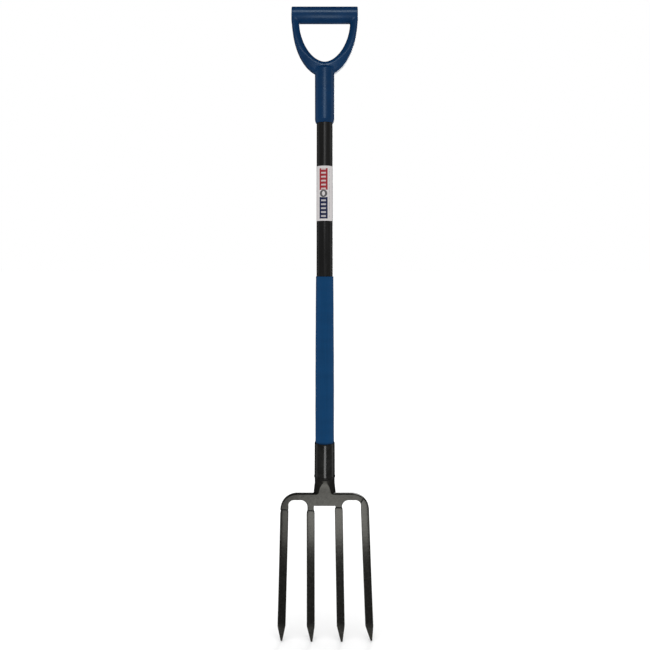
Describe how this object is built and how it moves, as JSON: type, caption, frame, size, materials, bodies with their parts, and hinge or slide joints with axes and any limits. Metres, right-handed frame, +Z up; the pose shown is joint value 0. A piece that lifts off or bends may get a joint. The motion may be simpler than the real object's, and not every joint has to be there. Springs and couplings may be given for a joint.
{
  "type": "digging fork",
  "caption": "Long-handled digging fork with a blue moulded D-grip, a black steel shaft with a blue sleeve, and a welded head with flat pointed tines.",
  "frame": {"origin": "on the shaft's axis, level with the points of the inner tines", "axes": "+Z up along the shaft to the grip bar, +X across the tines, -Y the front, towards which the points curve"},
  "size_m": [0.1838, 0.0502, 1.1765],
  "materials": {
    "handle_plastic": "semi-gloss moulded blue plastic with a fine grain",
    "sleeve_plastic": "matt blue shrink sleeve",
    "tube_coating": "satin black powder coat",
    "socket_coating": "black paint with a soft gloss",
    "head_coating": "dark grey-black lacquer over forged steel",
    "tine_coating": "dark grey-black lacquer over forged steel",
    "weld_metal": "painted weld bead",
    "rivet_steel": "black coated steel rivet",
    "label_film": "off-white printed film with plain colour blocks"
  },
  "bodies": {
    "root": {"d_handle": "handle_plastic", "handle_rivet": "rivet_steel", "shaft_tube": "tube_coating", "shaft_label": "label_film", "shaft_sleeve": "sleeve_plastic", "head_socket": "socket_coating", "socket_rivet": "rivet_steel", "socket_weld": "weld_metal", "head_yoke": "head_coating", "tine_outer_left": "tine_coating", "tine_inner_left": "tine_coating", "tine_inner_right": "tine_coating", "tine_outer_right": "tine_coating", "weld_outer_left": "weld_metal", "weld_inner_left": "weld_metal", "weld_inner_right": "weld_metal", "weld_outer_right": "weld_metal"}
  },
  "joints": []
}
